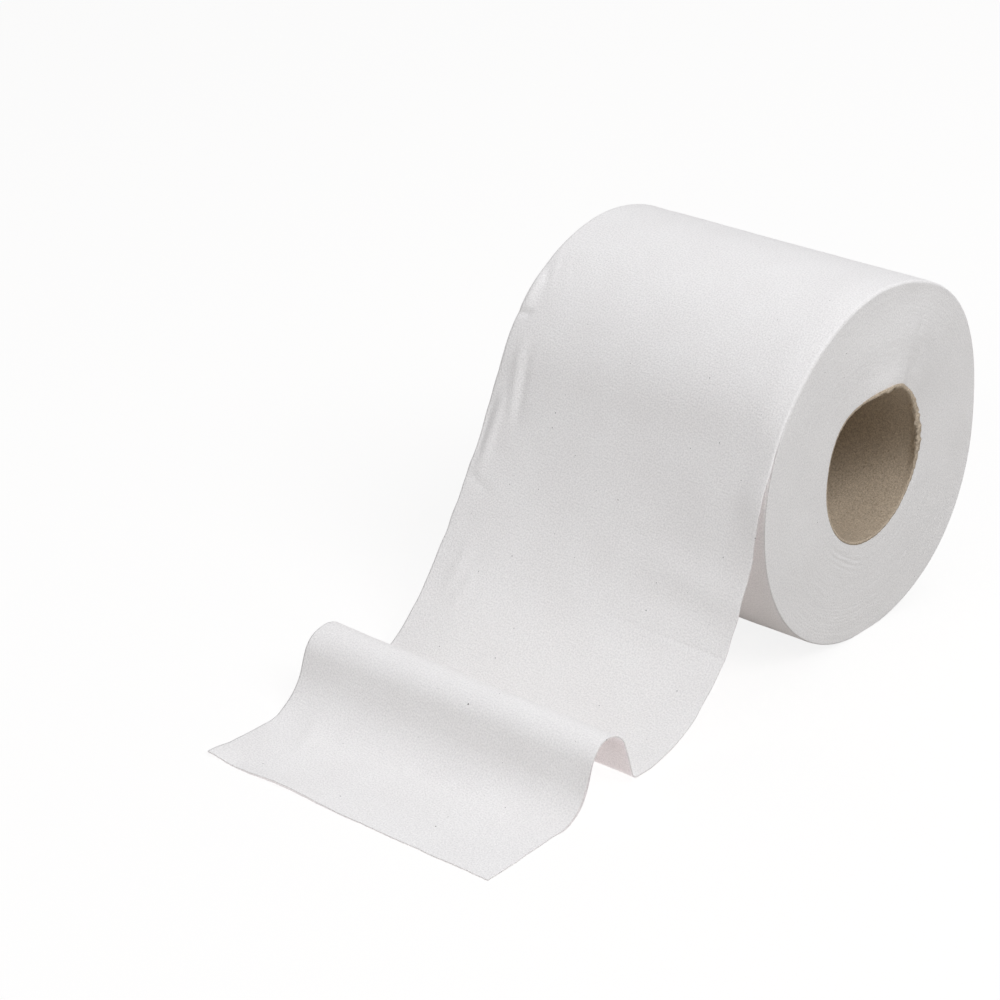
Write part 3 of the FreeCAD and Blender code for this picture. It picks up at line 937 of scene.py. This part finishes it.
def board_material():
    """Unbleached recycled board: matt and fibrous, in flecks from dark to light brown."""
    material, tree, output = new_material("recycled_core_board")
    where = add_node(tree, "ShaderNodeTexCoord")
    scaled = add_node(tree, "ShaderNodeMapping", {"Vector": where.outputs["Object"],
                                                  "Scale": (1 / MM, 1 / MM, 1 / MM)})
    fibres = add_node(tree, "ShaderNodeTexNoise", {"Vector": scaled.outputs[0],
                                                   "Scale": FIBRES_PER_MM, "Detail": 3.0,
                                                   "Roughness": 0.75})
    colour = add_node(tree, "ShaderNodeMix", {"Factor": fibres.outputs["Fac"],
                                              6: linear(DARK_BOARD), 7: linear(PALE_BOARD)},
                      data_type="RGBA")
    bump = add_node(tree, "ShaderNodeBump", {"Height": fibres.outputs["Fac"], "Strength": 1.0,
                                             "Distance": FIBRE_RELIEF * MM})
    shader = add_node(tree, "ShaderNodeBsdfPrincipled", {
        "Base Color": colour.outputs[2], "Roughness": 0.9, "Specular IOR Level": 0.2,
        "Normal": bump.outputs[0]})
    tree.links.new(shader.outputs[0], output.inputs["Surface"])
    return material


# %% The tube
BOARD_WALL = 0.75
RIM_TORN = 1.5
CORE_RING_STEPS = 540


def make_core(material):
    """The tube's wall as a closed section, near rim to far rim outside and back inside.

    The near rim is torn: it stands proud and thick on the right, flares at the top, and lies
    back behind the tissue on the left.
    """
    ring = np.linspace(0, 2 * math.pi, CORE_RING_STEPS, endpoint=False)
    run = uneven([-half, -half + 3, -half + 12, half - 3, half], [14, 12, 20, 8])
    side = np.concatenate([np.ones(len(run)), np.zeros(len(run))])
    along, angle = np.meshgrid(np.concatenate([run, run[::-1]]), ring, indexing="ij")
    outside = np.repeat(side[:, None], len(ring), axis=1)
    turned = angle * core_radius
    frayed = 0.5 * ripple(turned, 0 * turned, 0.9, 41) + 0.3 * ripple(turned, 0 * turned, 4.0, 42)
    right, top = sector(angle, 12, 30), sector(angle, 84, 26)
    low, left = sector(angle, -75, 40), sector(angle, 165, 55)
    at_rim = bell(along + half, 0, RIM_TORN)
    torn = (0.25 + right + 0.8 * top) * frayed
    lifted = near_dents(core_radius + 0 * angle, angle)
    proud = lifted + 0.35 * right + 0.3 * top + 0.1 * low - 0.3 * left + 0.5 * torn
    proud = proud * at_rim
    thicker = (1.7 * right + 0.3 * top + 0.1 * low) * at_rim
    bulge = 0.5 * ripple(turned, along, 0.8, 43) * at_rim * (right + top)
    wall = BOARD_WALL + thicker + bulge
    wave = 0.12 * ripple(turned, along, 9.0, 44)
    flare = (0.9 * top + 0.25 * right) * bell(along + half, 0, 0.9)
    flare += mouth(angle) * bell(along + half, 0, 9)
    radius = core_radius + flare - (1 - outside) * (wall + wave)
    y = along - proud
    points = np.stack([radius * np.cos(angle), y, axis_height + radius * np.sin(angle)], -1)
    return close_tube("core_tube", points, material)


core_tube = make_core(board_material())

# %% [markdown]
# ## The pieces on the roll's body
# Every piece rides on the roll's one body. The solids of the part file that the pieces stand in
# for, the tissue and the core, are hidden.

# %% Ride and hide
for piece in (upper_ply, lower_ply, wound_turns):
    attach(piece, "root")
    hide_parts("tissue")
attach(core_tube, "root")
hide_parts("core")
